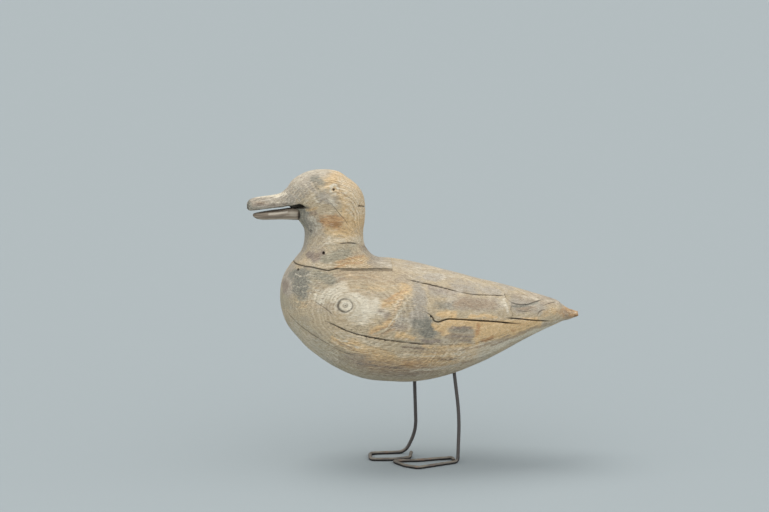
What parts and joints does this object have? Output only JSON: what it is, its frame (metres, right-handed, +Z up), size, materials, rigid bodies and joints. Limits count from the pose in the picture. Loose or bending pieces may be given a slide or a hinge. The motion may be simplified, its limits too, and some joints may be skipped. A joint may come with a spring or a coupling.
{
  "type": "gull decoy",
  "caption": "Life-size carved wooden gull decoy: solid body, separate head and neck, slatted lower bill, two bent-wire legs with looped feet.",
  "frame": {"origin": "on the ground under the middle of the bounding box", "axes": "+Z up; +X from the bill towards the tail; -Y is the side the picture shows"},
  "size_m": [0.357, 0.1174, 0.318],
  "materials": {
    "weathered_wood": "bare weathered softwood, bleached grey and tan, matt",
    "bill_wood": "bare weathered softwood, grey-brown, matt, lengthwise grain",
    "leg_wire": "old steel wire, dark brown-grey with dull rust on the feet"
  },
  "bodies": {
    "root": {"body": "weathered_wood", "head_and_neck": "weathered_wood", "lower_bill": "bill_wood", "far_leg": "leg_wire", "near_leg": "leg_wire"}
  },
  "joints": []
}
